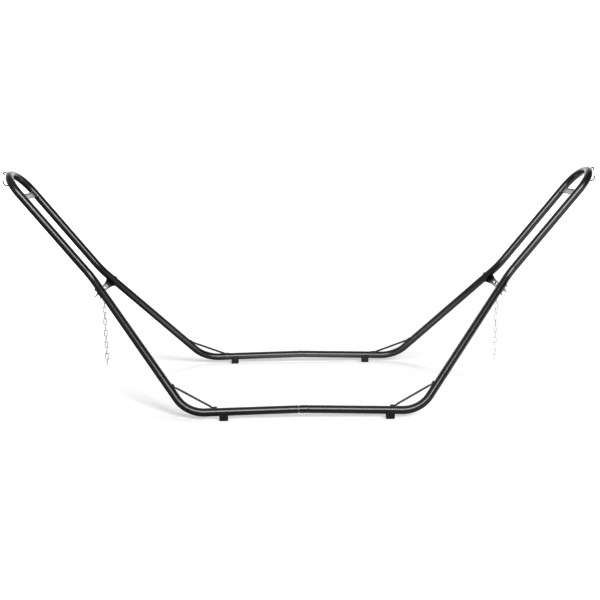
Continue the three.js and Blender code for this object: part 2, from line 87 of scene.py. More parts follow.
class Route:
    """The centre line of a bent bar or tube: stations with a point, a tangent and a normal."""

    def __init__(self, stations, first_normal=None):
        self.points = [p.copy() for p, _ in stations]
        self.tangents = [t.normalized() for _, t in stations]
        self.at = [0.0]
        for a, b in zip(self.points, self.points[1:]):
            self.at.append(self.at[-1] + (b - a).length)
        self.length = self.at[-1]
        normal = first_normal or self.tangents[0].orthogonal()
        self.normals = []
        before = self.tangents[0]
        for tangent in self.tangents:
            normal = before.rotation_difference(tangent) @ normal
            normal = (normal - tangent * normal.dot(tangent)).normalized()
            self.normals.append(normal)
            before = tangent

    def station(self, distance):
        distance = min(max(distance, 0), self.length)
        i = max(k for k in range(len(self.at) - 1) if self.at[k] <= distance + 1e-9)
        share = (distance - self.at[i]) / (self.at[i + 1] - self.at[i])
        point = self.points[i].lerp(self.points[i + 1], share)
        tangent = self.tangents[i].lerp(self.tangents[i + 1], share).normalized()
        normal = self.normals[i].lerp(self.normals[i + 1], share)
        normal = (normal - tangent * normal.dot(tangent)).normalized()
        return point, normal, tangent.cross(normal)

    def between(self, low, high):
        return [s for s in self.at if low + 1e-6 < s < high - 1e-6]

    def ring(self, distance, outline):
        point, normal, side = self.station(distance)
        return [point + normal * a + side * b for a, b in outline]


def bent(points, radii, step=BEND_STEP):
    """Stations along straight stretches whose corners are bent to the radii."""
    stations = [(points[0], points[1] - points[0])]
    for before, corner, after, radius in zip(points, points[1:], points[2:], radii):
        arrive = (corner - before).normalized()
        leave = (after - corner).normalized()
        turn = arrive.angle(leave)
        start = corner - arrive * radius * math.tan(turn / 2)
        inward = (leave - arrive * leave.dot(arrive)).normalized()
        centre = start + inward * radius
        count = max(2, math.ceil(turn / step))
        for i in range(count + 1):
            a = turn * i / count
            point = centre + arrive * radius * math.sin(a) - inward * radius * math.cos(a)
            stations.append((point, arrive * math.cos(a) + inward * math.sin(a)))
    stations.append((points[-1], points[-1] - points[-2]))
    kept = stations[:1]
    for station in stations[1:]:
        if (station[0] - kept[-1][0]).length > 1e-5:
            kept.append(station)
    return kept


def circle(radius, sides):
    angles = [2 * math.pi * i / sides for i in range(sides)]
    return [(radius * math.cos(a), radius * math.sin(a)) for a in angles]


def loft(rings, closed=False):
    """Vertices and faces of a skin over rings of equally many points. It is capped unless closed."""
    count = len(rings[0])
    points = [p for ring in rings for p in ring]
    faces = []
    for i in range(len(rings) if closed else len(rings) - 1):
        a, b = i * count, (i + 1) % len(rings) * count
        for k in range(count):
            n = (k + 1) % count
            faces.append((a + k, a + n, b + n, b + k))
    if not closed:
        for start, order in ((0, -1), ((len(rings) - 1) * count, 1)):
            middle = sum((points[start + k] for k in range(count)), Vector()) / count
            points.append(middle)
            fan = [(start + k, start + (k + 1) % count, len(points) - 1) for k in range(count)]
            faces += [f if order == 1 else f[::-1] for f in fan]
    return points, faces


def turned(route, profile, sides=TUBE_SIDES, closed=False):
    """A round body along a route. The profile is a list of (distance, radius)."""
    rings = []
    following = profile[1:] + profile[:1] if closed else profile[1:]
    for (a, ra), (b, rb) in zip(profile, following):
        rings.append(route.ring(a, circle(ra, sides)))
        middle = route.between(min(a, b), max(a, b))
        for s in middle if a < b else middle[::-1]:
            rings.append(route.ring(s, circle(ra + (rb - ra) * (s - a) / (b - a), sides)))
    if not closed:
        rings.append(route.ring(profile[-1][0], circle(profile[-1][1], sides)))
    return loft(rings, closed)


def rolled(distance, radius, roll, sign):
    """The rounded corner of a cut end, from the end face out to the full radius and a little on."""
    angles = [math.pi / 2 * i / ROLL_STEPS for i in range(ROLL_STEPS + 1)]
    corner = [(distance + sign * roll * (1 - math.cos(a)), radius - roll * (1 - math.sin(a)))
              for a in angles]
    return corner + [(distance + sign * (roll + radius / 8), radius)]


class Shade:
    """A shader value. Sums and products on it add Math nodes; any other node comes from node()."""

    def __init__(self, tree, socket=None):
        self.tree = tree
        self.socket = socket

    def node(self, kind, settings, sockets, output=0):
        made = self.tree.nodes.new("ShaderNode" + kind)
        for key, value in settings.items():
            if key == "stops":
                for i, (place, tone) in enumerate(value):
                    stops = made.color_ramp.elements
                    stop = stops[i] if i < 2 else stops.new(place)
                    stop.position = place
                    stop.color = (tone, tone, tone, 1)
            else:
                setattr(made, key, value)
        for key, value in sockets.items():
            if isinstance(value, Shade):
                self.tree.links.new(value.socket, made.inputs[key])
            else:
                made.inputs[key].default_value = value
        return Shade(self.tree, made.outputs[output])

    def maths(self, operation, a, b):
        return self.node("Math", {"operation": operation}, {0: a, 1: b})

    def __add__(self, other):
        return self.maths("ADD", self, other)

    def __sub__(self, other):
        return self.maths("SUBTRACT", self, other)

    def __rsub__(self, other):
        return self.maths("SUBTRACT", other, self)

    def __mul__(self, other):
        return self.maths("MULTIPLY", self, other)

    __radd__ = __add__
    __rmul__ = __mul__

    def noise(self, scale, detail=2.0, roughness=0.5, distortion=0.0):
        return self.node("TexNoise", {}, {"Vector": self, "Scale": scale, "Detail": detail,
                                          "Roughness": roughness, "Distortion": distortion})

    def ramp(self, *stops):
        return self.node("ValToRGB", {"stops": stops}, {"Fac": self})

    def stretched(self, x, y, z):
        return self.node("VectorMath", {"operation": "MULTIPLY"}, {0: self, 1: (x, y, z)})

    def length(self):
        return self.node("VectorMath", {"operation": "LENGTH"}, {0: self}, "Value")

    def part(self, axis):
        return self.node("SeparateXYZ", {}, {0: self}, axis)

    def ranged(self, low, high):
        """This value brought to 0 at low and 1 at high, and held there beyond."""
        return self.node("MapRange", {}, {0: self, 1: low, 2: high})

    def between(self, first, second):
        """A colour from first to second as this value goes from 0 to 1. Either may be a Shade."""
        return self.node("Mix", {"data_type": "RGBA"}, {0: self, 6: first, 7: second}, 2)

    def bump(self, strength, distance, under=None):
        sockets = {"Height": self, "Strength": strength, "Distance": distance}
        if under:
            sockets["Normal"] = under
        return self.node("Bump", {}, sockets)

    def into(self, shader, name):
        self.tree.links.new(self.socket, shader.inputs[name])


def new_finish(name, **constants):
    """A material with one Principled shader, and the place on the piece to start patterns from."""
    material = bpy.data.materials.new(name)
    material.use_nodes = True
    tree = material.node_tree
    shader = tree.nodes["Principled BSDF"]
    for key, value in constants.items():
        shader.inputs[key.replace("_", " ")].default_value = value
    place = Shade(tree).node("TexCoord", {}, {}, "Object")
    return material, shader, place


# Powder coat: black, half gloss, with a fine orange peel, a faint haze of handling
# marks, and a little settled dust in broad patches.

COAT_IOR = 1.5
COAT_DEEP = (0.0030, 0.0030, 0.0034, 1)
COAT_HAZED = (0.0060, 0.0060, 0.0065, 1)
COAT_DUSTY = (0.050, 0.049, 0.047, 1)
COAT_ROUGHNESS = 0.27

black_coat, shader, place = new_finish("black_powder_coat", IOR=COAT_IOR, Metallic=0.0)
haze = place.noise(5.0, 3.0, 0.55)
smears = place.stretched(1, 1, 0.35).noise(38.0, 4.0, 0.6, 0.4).ramp((0.48, 0.0), (0.75, 1.0))
peel = place.noise(300.0, 1.0, 0.4)
pits = place.noise(1900.0, 2.0, 0.6)
dust = place.noise(260.0, 5.0, 0.7).ramp((0.62, 0.0), (0.85, 1.0)) * haze
ground = haze.between(COAT_DEEP, COAT_HAZED)
(dust * 0.12).between(ground, COAT_DUSTY).into(shader, "Base Color")
(haze * 0.05 + smears * 0.03 + dust * 0.04 + pits * 0.02 + COAT_ROUGHNESS).into(shader, "Roughness")
pits.bump(0.02, 0.00008, peel.bump(0.04, 0.00008)).into(shader, "Normal")


def piece(name, parts, finish, body, nodes, place=Matrix(), crease=35):
    """One object from lofted parts, finished, fastened to its CAD body, and shown in place of the CAD nodes,
    which it hides.
    """
    points, faces = [], []
    for part_points, part_faces in parts:
        shift = len(points)
        points += part_points
        faces += [tuple(i + shift for i in face) for face in part_faces]
    mesh = bpy.data.meshes.new(name)
    mesh.from_pydata([tuple(place @ p) for p in points], [], faces)
    mesh.validate()
    mesh.materials.append(finish)
    mesh.shade_smooth()
    mesh.set_sharp_from_angle(angle=math.radians(crease))
    made = bpy.data.objects.new(name, mesh)
    bpy.context.scene.collection.objects.link(made)
    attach(made, body)
    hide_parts(*nodes)


SIDES = (-1, 1)
base_x = (foot_low.x + foot_high.x) / 2 + FOOT_INSET
base_z = rail_top_z - RAIL_RISE
splay_corner = {side: apex_middle + Vector((-LEAN_RUN, side * loop_half, -LEAN_RISE)) for side in SIDES}
base_corner = {side: Vector((base_x, side * rail_half, base_z)) for side in SIDES}
rail_middle = {side: Vector((0, side * rail_half, rail_top_z)) for side in SIDES}
leg_down = {side: (base_corner[side] - splay_corner[side]).normalized() for side in SIDES}
loop_up = Vector((LEAN_RUN, 0, LEAN_RISE)).normalized()
inward = (rail_middle[1] - base_corner[1]).normalized()
splay_setback = SPLAY_BEND * math.tan(loop_up.angle(-leg_down[1]) / 2)
loop_seam = splay_setback + SPLAY_STRAIGHT

ENDS = {"right": Matrix(), "left": Matrix.Rotation(math.pi, 4, "Z")}

for end, half_turn in ENDS.items():
    corners = {side: apex_middle + ACROSS * side * loop_half for side in SIDES}
    ends = {side: splay_corner[side] + loop_up * (loop_seam + SEAM) for side in SIDES}
    route = Route(bent([ends[-1], corners[-1], corners[1], ends[1]], [loop_half, loop_half]))
    skin = rolled(0, TUBE_R, END_ROLL, 1) + rolled(route.length, TUBE_R, END_ROLL, -1)[::-1]
    skin += [(route.length, BORE_R), (0, BORE_R)]
    piece("loop_tube_" + end, [turned(route, skin, closed=True)], black_coat, "stand",
          ["loop_" + end], half_turn)

# Legs. Each leg tube bends once below the loop and runs straight down to the floor
# rail. Both ends are drawn down to a spigot that slides into its neighbour.

BASE_BEND = 0.168
BASE_STRAIGHT = 0.128
SPIGOT_R = 0.0175
SPIGOT_BORE_R = 0.016
SPIGOT_LENGTH = 0.090
SPIGOT_EDGE = 0.001         # chamfer at a spigot's tip

base_setback = BASE_BEND * math.tan(leg_down[1].angle(inward) / 2)
base_seam = base_setback + BASE_STRAIGHT


def sides_of(end):
    """The two sides of an end as built on the right, with the name each has there."""
    return [(side, "front" if (side < 0) == (end == "right") else "back") for side in SIDES]


for end, half_turn in ENDS.items():
    for side, where in sides_of(end):
        top = splay_corner[side] + loop_up * (loop_seam + SPIGOT_LENGTH)
        low = base_corner[side] - leg_down[side] * (base_seam + SEAM - SPIGOT_LENGTH)
        route = Route(bent([top, splay_corner[side], low], [SPLAY_BEND]))
        foot_of_tube = route.length - SPIGOT_LENGTH
        skin = [(0, SPIGOT_R - SPIGOT_EDGE), (SPIGOT_EDGE, SPIGOT_R), (SPIGOT_LENGTH, SPIGOT_R)]
        skin += rolled(SPIGOT_LENGTH, TUBE_R, END_ROLL, 1)
        skin += rolled(foot_of_tube, TUBE_R, END_ROLL, -1)[::-1]
        skin += [(foot_of_tube, SPIGOT_R), (route.length - SPIGOT_EDGE, SPIGOT_R)]
        skin += [(route.length, SPIGOT_R - SPIGOT_EDGE), (route.length, SPIGOT_BORE_R), (0, SPIGOT_BORE_R)]
        piece(f"leg_tube_{where}_{end}", [turned(route, skin, closed=True)], black_coat,
              "stand", [f"leg_{where}_{end}"], half_turn)

# Floor rails. Each half is a tube with the floor bend at its outer end; the two halves
# of a side meet at a coupler collar, and the rail bows up a little in the middle.

COLLAR_HALF = 0.021
COUPLER_REACH = COLLAR_HALF + SPIGOT_LENGTH
COUPLER_BEND = 0.4
LOOSE_JOINT = 0.006         # one half rail stands off its collar and shows the bare spigot
BARE_EDGE = 0.0006          # how quickly the coat gives way to bare metal
BARE_STEEL = (0.11, 0.11, 0.11, 1)

# The front coupler's left spigot is bare, rubbed steel, and shows where the joint is open.
coupler_coat, shader, place = new_finish("coupler_coat_and_bare_spigot", IOR=COAT_IOR)
haze = place.noise(5.0, 3.0, 0.55)
rub_marks = place.stretched(0.1, 1, 1).noise(700.0, 3.0, 0.6)
bare = place.part("X").ranged(-COLLAR_HALF, -COLLAR_HALF - BARE_EDGE)
ground = haze.between(COAT_DEEP, COAT_HAZED)
bare.between(ground, BARE_STEEL).into(shader, "Base Color")
bare.into(shader, "Metallic")
(haze * 0.05 + bare * rub_marks * 0.5 + COAT_ROUGHNESS).into(shader, "Roughness")

for end, half_turn in ENDS.items():
    for side, where in sides_of(end):
        top = base_corner[side] - leg_down[side] * base_seam
        loose = LOOSE_JOINT if (where, end) == ("front", "left") else 0
        inner = rail_middle[side] - inward * (COLLAR_HALF + SEAM + loose)
        route = Route(bent([top, base_corner[side], inner], [BASE_BEND]))
        skin = rolled(0, TUBE_R, END_ROLL, 1) + rolled(route.length, TUBE_R, END_ROLL, -1)[::-1]
        skin += [(route.length, BORE_R), (0, BORE_R)]
        piece(f"rail_tube_{where}_{end}", [turned(route, skin, closed=True)], black_coat,
              "stand", [f"rail_{where}_{end}"], half_turn)

onward = Vector((inward.x, 0, -inward.z))
for side, where in ((-1, "front"), (1, "back")):
    line = [rail_middle[side] - inward * COUPLER_REACH, rail_middle[side],
            rail_middle[side] + onward * COUPLER_REACH]
    route = Route(bent(line, [COUPLER_BEND]))
    near, far = route.length / 2 - COLLAR_HALF, route.length / 2 + COLLAR_HALF
    skin = [(0, SPIGOT_R), (near, SPIGOT_R)]
    skin += rolled(near, TUBE_R, END_ROLL, 1) + rolled(far, TUBE_R, END_ROLL, -1)[::-1]
    skin += [(far, SPIGOT_R), (route.length, SPIGOT_R), (route.length, SPIGOT_BORE_R), (0, SPIGOT_BORE_R)]
    coat = coupler_coat if where == "front" else black_coat
    piece("rail_coupler_" + where, [turned(route, skin, closed=True)], coat, "stand",
          ["coupler_" + where])

# Braces. A round steel bar crosses each floor bend. Its ends are hammered flat, laid on
# the leg and the rail, and welded along both edges before coating.

BRACE_R = 0.005
BRACE_ABOVE_BEND = 0.049
BRACE_PAST_BEND = 0.031
BRACE_LAP = 0.026
BRACE_BEND = 0.016
FLAT_HALF_THICK = 0.0030
FLAT_HALF_WIDE = 0.0068
BEAD_R = 0.0021
BEAD_STEP = 0.0026          # spacing of the ripples in a weld
BEAD_RINGS = 4              # rings to a ripple
TOE = 0.0004                # how far a bead's middle stands off the edge it joins
HAMMERED_FADE = 0.014       # length over which the bar turns from flat to round
HAMMERED_PAST = 0.004       # where that starts, short of the lap's end
TIP_ROUND = 0.006
FINE_END = 0.045            # length at each end that gets closer rings


def bead(points, radius, seed, sides=12):
    """A rippled weld bead along a line of points, blunt at both ends."""
    draw = random.Random(seed)
    last = len(points) - 1
    route = Route([(p, points[min(i + 1, last)] - points[max(i - 1, 0)]) for i, p in enumerate(points)])
    count = max(6, round(route.length / BEAD_STEP * BEAD_RINGS))
    rings = []
    swell = [draw.uniform(0.93, 1.07) for _ in range(count // BEAD_RINGS + 2)]
    for i in range(count + 1):
        s = route.length * i / count
        end = min(s, route.length - s) / (1.5 * radius)
        blunt = math.sqrt(max(0.04, 1 - (1 - min(end, 1)) ** 2))
        ripple = 1 + 0.10 * abs(math.sin(math.pi * s / BEAD_STEP)) - 0.06
        size = radius * blunt * ripple * swell[int(s / BEAD_STEP) % len(swell)]
        rings.append(route.ring(s, circle(size, sides)))
    return loft(rings)


def superellipse(wide, thick, sides, power):
    """An outline between a round and a flat bar: power 2 is round, more is squarer."""
    outline = []
    for i in range(sides):
        c, s = math.cos(2 * math.pi * i / sides), math.sin(2 * math.pi * i / sides)
        outline.append((math.copysign(abs(c) ** (2 / power), c) * thick,
                        math.copysign(abs(s) ** (2 / power), s) * wide))
    return outline


for end, half_turn in ENDS.items():
    for side, where in sides_of(end):
        corner, up_leg = base_corner[side], -leg_down[side]
        off_leg = (inward - up_leg * inward.dot(up_leg)).normalized()
        off_rail = (up_leg - inward * up_leg.dot(inward)).normalized()
        stand_off = TUBE_R + SEAM_GAP + BRACE_R
        leave_leg, leave_rail = base_setback + BRACE_ABOVE_BEND, base_setback + BRACE_PAST_BEND
        over_leg, over_rail = corner + off_leg * stand_off, corner + off_rail * stand_off
        on_leg = [over_leg + up_leg * d for d in (leave_leg + BRACE_LAP, leave_leg)]
        on_rail = [over_rail + inward * d for d in (leave_rail, leave_rail + BRACE_LAP)]
        route = Route(bent(on_leg + on_rail, [BRACE_BEND, BRACE_BEND], math.radians(4)), off_leg)
        near_end = [0.0005 * i for i in range(5)] + [0.002 * i for i in range(1, 22)]
        stops = sorted({round(s, 5) for s in near_end + route.at})
        stops = sorted(set(stops + [round(route.length - s, 5) for s in stops if s < FINE_END]))
        rings = []
        for s in stops:
            nearest = min(s, route.length - s)
            flat = 1 - min(max((nearest - BRACE_LAP + HAMMERED_PAST) / HAMMERED_FADE, 0), 1)
            flat = flat * flat * (3 - 2 * flat)
            tip = math.sqrt(max(0.02, 1 - (1 - min(nearest / TIP_ROUND, 1)) ** 2))
            wide = (BRACE_R + (FLAT_HALF_WIDE - BRACE_R) * flat) * tip
            thick = BRACE_R + (FLAT_HALF_THICK - BRACE_R) * flat
            thick *= 0.75 + 0.25 * min(nearest / 0.001, 1)
            sink = BRACE_R - thick if flat else 0
            outline = superellipse(wide, thick, 24, 2 + 1.4 * flat)
            rings.append(route.ring(s, [(a - sink, b) for a, b in outline]))
        welds = []
        for k, (line, off) in enumerate(((on_leg, off_leg), (on_rail, off_rail))):
            way = (line[1] - line[0]).normalized()
            edge = way.cross(off).normalized()
            for sign in SIDES:
                drop = BRACE_R - 0.0009 + SEAM_GAP
                start = line[0] - off * drop + edge * sign * (FLAT_HALF_WIDE + TOE)
                path = [start + way * (0.003 + 0.002 * i) for i in range(11)]
                welds.append(bead(path, BEAD_R, 40 + 2 * k + sign))
        piece(f"brace_bar_{where}_{end}", [loft(rings)] + welds, black_coat, "stand",
              [f"brace_{where}_{end}"], half_turn, 50)

# Feet. Each is a moulded rubber saddle that clips up around the rail, with a bead
# along its top edges, gripping ribs on its cheeks and shallow grooves in its sole.

FOOT_HALF = 0.020
FOOT_WALL = 0.0026
SOLE_HALF = 0.015
LIP = 0.0012
LIP_HEIGHT = 0.005
CHEEK = TUBE_R + SEAM_GAP + FOOT_WALL
RIBS = 6
RIB_PITCH = 0.005
RIB_DEPTH = 0.0007
TREAD_DEPTH = 0.0009
EDGE_ROUND = 0.0009

foot_rubber, shader, place = new_finish("foot_rubber", IOR=1.5, Metallic=0.0)
bloom = place.noise(60.0, 4.0, 0.6)
grit = place.noise(900.0, 3.0, 0.6)
scuffs = place.stretched(1, 0.3, 1).noise(240.0, 5.0, 0.7, 0.6).ramp((0.55, 0.0), (0.75, 1.0))
ground = bloom.between((0.0025, 0.0025, 0.0025, 1), (0.0045, 0.0045, 0.0043, 1))
(scuffs * 0.35).between(ground, (0.012, 0.012, 0.011, 1)).into(shader, "Base Color")
(bloom * 0.14 + scuffs * 0.08 + 0.66).into(shader, "Roughness")
grit.bump(0.35, 0.00025).into(shader, "Normal")


def pulled_in(outline, distance):
    """A closed outline moved inward. Points run so that the inside is on the left."""
    moved = []
    for i, (y, z) in enumerate(outline):
        (ya, za), (yb, zb) = outline[i - 1], outline[(i + 1) % len(outline)]
        before = Vector((y - ya, z - za)).normalized()
        after = Vector((yb - y, zb - z)).normalized()
        normal = Vector((-before.y - after.y, before.x + after.x))
        stretch = min(1 / max(normal.length / 2, 0.4), 2.0)
        normal = normal.normalized() * distance * stretch
        moved.append((y + normal.x, z + normal.y))
    return moved


def softened(outline, radius, steps=3):
    """A closed outline with its sharp corners rounded."""
    result = []
    for i, point in enumerate(outline):
        p = Vector(point)
        a, b = Vector(outline[i - 1]), Vector(outline[(i + 1) % len(outline)])
        if (p - a).angle(b - p) < math.radians(20):
            result.append(point)
            continue
        cut = min(radius, (a - p).length * 0.45, (b - p).length * 0.45)
        first, last = p + (a - p).normalized() * cut, p + (b - p).normalized() * cut
        for k in range(steps + 1):
            t = k / steps
            q = first * (1 - t) ** 2 + p * 2 * t * (1 - t) + last * t * t
            result.append((q.x, q.y))
    return result


def foot_outline(axis_z, rib, tread):
    """Section of a foot across the rail: sole, cheek, lip and the channel that cups the tube."""
    cheek, channel = CHEEK - rib, TUBE_R + SEAM_GAP
    side = [(SOLE_HALF, 0), (cheek, axis_z - TUBE_R + FOOT_WALL), (cheek, axis_z - LIP_HEIGHT),
            (CHEEK + LIP, axis_z - LIP_HEIGHT), (CHEEK + LIP, axis_z), (channel, axis_z)]
    steps = 28
    angles = [math.pi * i / steps for i in range(1, steps)]
    cup = [(channel * math.cos(a), axis_z - channel * math.sin(a)) for a in angles]
    sole = [(-SOLE_HALF * 0.6, tread), (SOLE_HALF * 0.6, tread)]
    return [(-SOLE_HALF, 0)] + sole + side + cup + [(-y, z) for y, z in reversed(side[1:])]


def capped(rings):
    """A loft whose two ends are single faces."""
    count = len(rings[0])
    points, faces = loft(rings, closed=True)
    faces = faces[:-count]
    faces.append(tuple(reversed(range(count))))
    faces.append(tuple(range((len(rings) - 1) * count, len(rings) * count)))
    return points, faces


for end, half_turn in ENDS.items():
    for side, where in sides_of(end):
        low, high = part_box(f"foot_{where}_{end}")
        centre_x = abs(low.x + high.x) / 2
        rise = rail_top_z + (base_z - rail_top_z) * centre_x / base_corner[1].x
        rounding = [(0, 0.0016), (0.0002, 0.0010), (0.0007, 0.0004), (0.0016, 0)]
        stops = [(d - FOOT_HALF, 0, pull) for d, pull in rounding]
        for i in range(RIBS):
            x = (i - (RIBS - 1) / 2) * RIB_PITCH
            stops += [(x - 0.0016, 0, 0), (x - 0.0009, 1, 0), (x + 0.0009, 1, 0), (x + 0.0016, 0, 0)]
        stops += [(FOOT_HALF - d, 0, pull) for d, pull in reversed(rounding)]
        rings = []
        for x, groove, pull in stops:
            outline = softened(foot_outline(rise, RIB_DEPTH * groove, TREAD_DEPTH * groove), EDGE_ROUND)
            if pull:
                outline = pulled_in(outline, pull)
            rings.append([Vector((centre_x + x, side * rail_half + y, z)) for y, z in outline])
        piece(f"rubber_foot_{where}_{end}", [capped(rings)], foot_rubber, "stand",
              [f"foot_{where}_{end}"], half_turn, 40)

# Cross plates. A short flanged strip, pressed from 3 mm sheet with a narrow waist, is
# welded between the two tubes of each loop just below the top bend.

PLATE_END_HALF = 0.020
PLATE_WAIST_HALF = 0.0145
PLATE_SHEET = 0.003
PLATE_FLANGE = 0.009
PLATE_BELOW_BEND = 0.001
PRESS_BEND = 0.0035         # outer radius of the folded edges
PLATE_BEAD_R = 0.0022
PLATE_END_BEAD_R = 0.0019


def channel_outline(half, low, high, sheet, bend, steps=5):
    """Section of a channel: web from low to low + sheet, flanges up to high."""
    def fold(x, z, radius):
        angles = [math.pi / 2 * (i / steps - 1) for i in range(steps + 1)]
        return [(x + radius * math.cos(a), z + radius * math.sin(a)) for a in angles]
    tip = sheet * 0.3
    inner = max(bend - sheet, 0.0006)
    right = fold(half - bend, low + bend, bend)
    right += [(half, high - tip), (half - tip, high), (half - sheet + tip, high), (half - sheet, high - tip)]
    right += reversed(fold(half - sheet - inner, low + sheet + inner, inner))
    return right + [(-x, z) for x, z in reversed(right)]


def beside_tube(z, gap):
    """How far from the middle a loop tube's flank is at height z, with a gap left to it."""
    return loop_half - math.sqrt((TUBE_R + gap) ** 2 - z * z)


plate_centre = apex_middle - loop_up * (loop_half + PLATE_BELOW_BEND + PLATE_END_HALF)
plate_frame = Matrix.Translation(plate_centre) @ Matrix((
    (loop_up.x, 0, -loop_up.z, 0), (0, 1, 0, 0), (loop_up.z, 0, loop_up.x, 0), (0, 0, 0, 1)))

for end, half_turn in ENDS.items():
    rings = []
    steps = 36
    for i in range(steps + 1):
        v = 2 * i / steps - 1
        half = PLATE_WAIST_HALF + (PLATE_END_HALF - PLATE_WAIST_HALF) * v * v
        ring = []
        for x, z in channel_outline(half, 0, PLATE_FLANGE, PLATE_SHEET, PRESS_BEND):
            ring.append(Vector((x, v * beside_tube(z, SEAM_GAP), z)))
        rings.append(ring)
    welds = []
    under, over = (-0.0003, PLATE_END_HALF - 0.002), (PLATE_SHEET + 0.0008, PLATE_END_HALF - 0.006)
    for sign in SIDES:
        for k, (z, span) in enumerate((under, over)):
            y = sign * beside_tube(z, TOE)
            path = [Vector((span * (i / 10 - 1), y, z)) for i in range(21)]
            welds.append(bead(path, PLATE_BEAD_R, 60 + k + sign))
        for x in (-PLATE_END_HALF - 0.0001, PLATE_END_HALF + 0.0001):
            heights = [0.001 + (PLATE_FLANGE - 0.001) * i / 8 for i in range(9)]
            path = [Vector((x, sign * beside_tube(z, TOE), z)) for z in heights]
            welds.append(bead(path, PLATE_END_BEAD_R, 70 + sign))
    piece("cross_plate_pressing_" + end, [loft(rings)] + welds, black_coat, "stand",
          ["cross_plate_" + end], half_turn @ plate_frame, 50)

# Brackets. A wide pressing lies under both legs below the splay bend. A saddle at each
# end cups the tube, and the waisted web between them has its edges folded down.

BRACKET_BELOW_BEND = 0.021
BRACKET_END_HALF = 0.029
BRACKET_WAIST_HALF = 0.016
SHEET = 0.003
WEB_TOP = TUBE_R - 0.004
FLANGE_EDGE = TUBE_R + 0.008
OVERHANG = 0.014
SADDLE_RISE = 0.003
BRACKET_FOLD = 0.005        # outer radius of its folded edges
WEB_SINK = 0.0004           # how far the web runs into the saddle's skin
WEB_TURN = 0.0028           # height over which the flanges run out below the saddle
WEB_END_SHARE = 0.86        # how much of the saddle's extra length the web takes up

down_mean = Vector((leg_down[1].x, 0, leg_down[1].z)).normalized()
bracket_out = down_mean.cross(ACROSS).normalized()
bracket_down = splay_setback + BRACKET_BELOW_BEND + BRACKET_END_HALF
bracket_middle = splay_corner[1] + leg_down[1] * bracket_down
bolt_y = bracket_middle.y
bracket_middle.y = 0
bracket_frame = Matrix.Translation(bracket_middle) @ Matrix((
    (down_mean.x, 0, bracket_out.x, 0), (0, 1, 0, 0), (down_mean.z, 0, bracket_out.z, 0), (0, 0, 0, 1)))
spread = abs(leg_down[1].y)
straight_down = math.sqrt(1 - spread * spread)
saddle_outer = TUBE_R + SEAM_GAP + SHEET


def saddle(side):
    """The cup under one leg: a part ring with rounded rims, running along the tube."""
    inner, outer = TUBE_R + SEAM_GAP, saddle_outer
    low_in, low_out = math.acos(SADDLE_RISE / inner), math.acos(SADDLE_RISE / outer)
    up = Vector((0, 0, 1))
    steps = 32
    along_leg = Vector((straight_down, side * spread, 0))
    sideways = Vector((-side * spread, straight_down, 0))
    rings = []
    rim = [(0, 0.0009), (0.0003, 0.0004), (0.0009, 0)]
    stops = [(d - BRACKET_END_HALF, pull) for d, pull in rim]
    stops += [(BRACKET_END_HALF - d, pull) for d, pull in reversed(rim)]
    for distance, pull in stops:
        centre = Vector((0, side * bolt_y, 0)) + along_leg * distance
        ring = []
        for radius, limit, order in ((outer - pull, low_out, 1), (inner + pull, low_in, -1)):
            for i in range(steps + 1)[::order]:
                a = limit * (2 * i / steps - 1) * (1 - pull / radius)
                ring.append(centre + up * radius * math.cos(a) + sideways * radius * math.sin(a))
        rings.append(ring)
    return rings


def web_reach(x, z):
    """How far the web and its flanges run out in y, up to the saddle or under it."""
    axis = bolt_y + x * spread / straight_down
    if z < saddle_outer - WEB_SINK:
        return axis - (math.sqrt(saddle_outer ** 2 - z * z) - WEB_SINK) / straight_down
    share = min(1, (z - saddle_outer + WEB_SINK) / WEB_TURN)
    return axis + OVERHANG * 0.9 * share ** 0.5


for end, half_turn in ENDS.items():
    rings = []
    steps = 56
    for i in range(steps + 1):
        v = 2 * i / steps - 1
        half = BRACKET_WAIST_HALF + (BRACKET_END_HALF - BRACKET_WAIST_HALF) * v * v * WEB_END_SHARE
        ring = []
        for x, z in channel_outline(half, WEB_TOP, FLANGE_EDGE, SHEET, BRACKET_FOLD, 6):
            ring.append(Vector((x, v * web_reach(x, z), z)))
        rings.append(ring)
    parts = [capped(rings), capped(saddle(-1)), capped(saddle(1))]
    piece("leg_bracket_" + end, parts, black_coat, "stand", ["bracket_" + end],
          half_turn @ bracket_frame, 40)

# Bracket bolts. A zinc-plated M8 hexagon bolt with a plain washer clamps each leg into
# its saddle; the nut sits below and the thread runs out past it.

BOLT_R = 0.004
THREAD_PITCH = 0.00125
THREAD_DEPTH = 0.00062
THREAD_FADE = 0.0012        # run-out of the groove at each end
TIP_TURNED = 0.0005         # how far the tip is turned down
TIP_LENGTH = 0.0008
HEX_HALF = 0.0065
HEAD_HEIGHT = 0.0055
NUT_HEIGHT = 0.0065
WASHER_R = 0.0085
WASHER_HEIGHT = 0.0016
BOLT_END = TUBE_R + 0.027

zinc_plate, shader, place = new_finish("zinc_plate", IOR=1.6)
mottle = place.noise(90.0, 4.0, 0.6)
spangle = place.node("TexVoronoi", {}, {"Vector": place, "Scale": 520.0}, "Distance")
scratches = place.stretched(1, 1, 0.08).noise(1400.0, 3.0, 0.6).ramp((0.50, 0.0), (0.70, 1.0))
white_rust = place.noise(260.0, 5.0, 0.7, 0.5).ramp((0.58, 0.0), (0.74, 1.0)) * mottle
bright = mottle.between((0.40, 0.41, 0.42, 1), (0.52, 0.52, 0.50, 1))
(white_rust * 0.7).between(bright, (0.36, 0.36, 0.35, 1)).into(shader, "Base Color")
(1 - white_rust * 0.6).into(shader, "Metallic")
(mottle * 0.12 + spangle * 0.10 + scratches * 0.06 + white_rust * 0.25 + 0.24).into(shader, "Roughness")
scratches.bump(0.10, 0.00005, mottle.bump(0.12, 0.0002)).into(shader, "Normal")


def round_section(z, radius, angle):
    return radius


